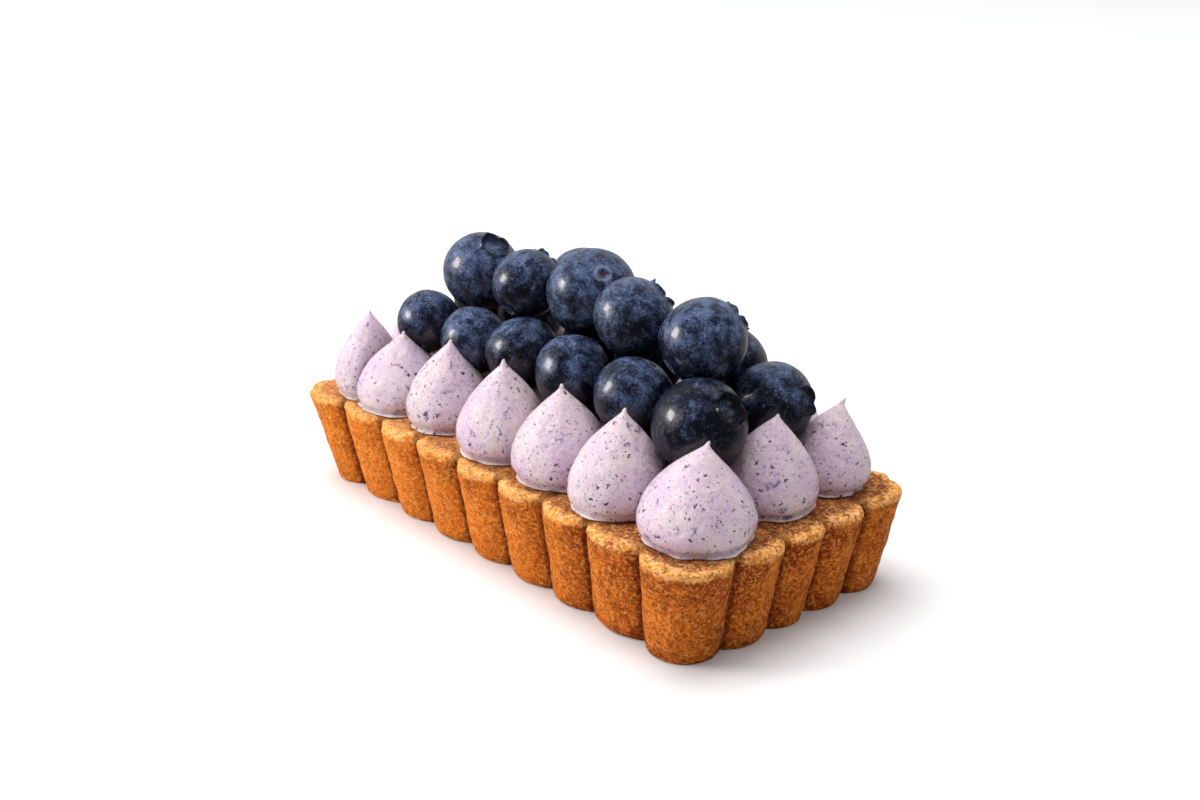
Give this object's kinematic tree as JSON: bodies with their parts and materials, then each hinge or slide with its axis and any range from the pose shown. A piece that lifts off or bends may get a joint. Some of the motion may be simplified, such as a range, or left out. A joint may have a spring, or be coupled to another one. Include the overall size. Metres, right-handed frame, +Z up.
{
  "type": "blueberry tart",
  "caption": "Oblong fluted pastry tart edged with piped cream kisses round a heap of blueberries.",
  "frame": {"origin": "centre of the underside of the crust, on the surface it stands on", "axes": "+X along the tart's long side, +Y across it, +Z up; the near corner in the picture is at +X, -Y"},
  "size_m": [0.1178, 0.0568, 0.0547],
  "materials": {
    "baked_crust": "matt, finely grained baked shortcrust",
    "blueberry_cream": "satin whipped cream with dark fruit specks",
    "blueberry_skin": "dark skin under a patchy grey-blue bloom"
  },
  "bodies": {
    "root": {"crust": "baked_crust", "cream_bed": "blueberry_cream", "kiss_01": "blueberry_cream", "kiss_02": "blueberry_cream", "kiss_03": "blueberry_cream", "kiss_04": "blueberry_cream", "kiss_05": "blueberry_cream", "kiss_06": "blueberry_cream", "kiss_07": "blueberry_cream", "kiss_08": "blueberry_cream", "kiss_09": "blueberry_cream", "kiss_10": "blueberry_cream", "kiss_11": "blueberry_cream", "kiss_12": "blueberry_cream", "kiss_13": "blueberry_cream", "kiss_14": "blueberry_cream", "kiss_15": "blueberry_cream", "kiss_16": "blueberry_cream", "berry_01": "blueberry_skin", "berry_02": "blueberry_skin", "berry_03": "blueberry_skin", "berry_04": "blueberry_skin", "berry_05": "blueberry_skin", "berry_06": "blueberry_skin", "berry_07": "blueberry_skin", "berry_08": "blueberry_skin", "berry_09": "blueberry_skin", "berry_10": "blueberry_skin", "berry_11": "blueberry_skin", "berry_12": "blueberry_skin", "berry_13": "blueberry_skin", "berry_14": "blueberry_skin", "berry_15": "blueberry_skin", "berry_16": "blueberry_skin", "berry_17": "blueberry_skin", "berry_18": "blueberry_skin"}
  },
  "joints": []
}
